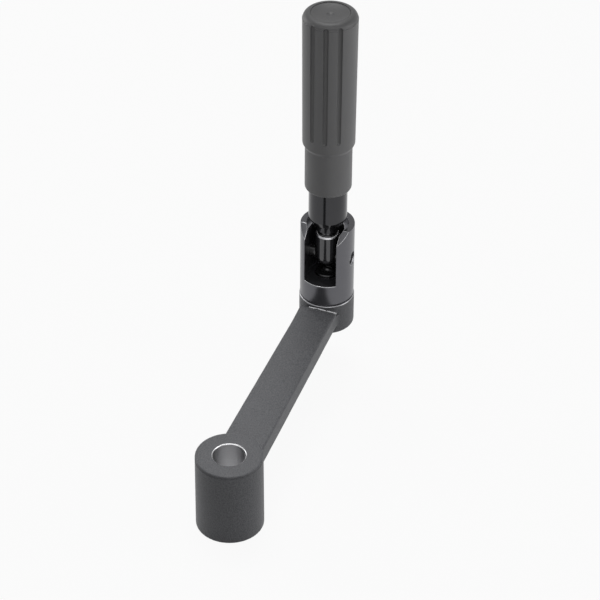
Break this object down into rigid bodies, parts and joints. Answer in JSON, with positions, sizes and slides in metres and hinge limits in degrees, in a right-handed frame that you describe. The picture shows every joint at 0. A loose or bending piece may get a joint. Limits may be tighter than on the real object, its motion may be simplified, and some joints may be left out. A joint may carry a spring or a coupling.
{
  "type": "crank handle",
  "caption": "Crank handle: round hub with a plain shaft bore, straight cast arm, and a revolving cylinder grip that draws out against a spring and folds over the arm.",
  "frame": {"origin": "middle of the shaft bore in the hub", "axes": "+X from the bore along the arm to the grip's axis, +Z along the bore towards the grip, +Y to the left of the arm seen from above"},
  "size_m": [0.1526, 0.0298, 0.1866],
  "materials": {
    "powder_coat": "fine structured matt coat",
    "black_steel": "black oxidised, turned and polished",
    "bright_steel": "bright ground steel",
    "grip_plastic": "fine matt moulded plastic"
  },
  "bodies": {
    "crank": {"crank_arm": "powder_coat", "pivot_housing": "black_steel", "housing_screw": "black_steel", "cross_pin": "bright_steel"},
    "swivel": {"swivel_rod": "black_steel", "pull_spring": "bright_steel", "spring_washer": "bright_steel", "rod_nut": "bright_steel"},
    "sleeve": {"spindle": "black_steel", "retaining_ring": "bright_steel"},
    "handle": {"grip": "grip_plastic", "end_cap": "grip_plastic"}
  },
  "joints": [
    {"name": "handle_fold", "type": "hinge", "parent": "crank", "child": "swivel", "pos_m": [0.125, 0, 0.0405], "axis": [0, -1, 0], "range_deg": [0, 90]},
    {"name": "grip_pull", "type": "slide", "parent": "swivel", "child": "sleeve", "axis": [0, 0, 1], "range_m": [0, 0.004], "stiffness_N_per_m": 2000, "deforming": ["pull_spring"]},
    {"name": "grip_spin", "type": "hinge", "parent": "sleeve", "child": "handle", "pos_m": [0.125, 0, 0.12], "axis": [0, 0, 1], "continuous": true}
  ]
}
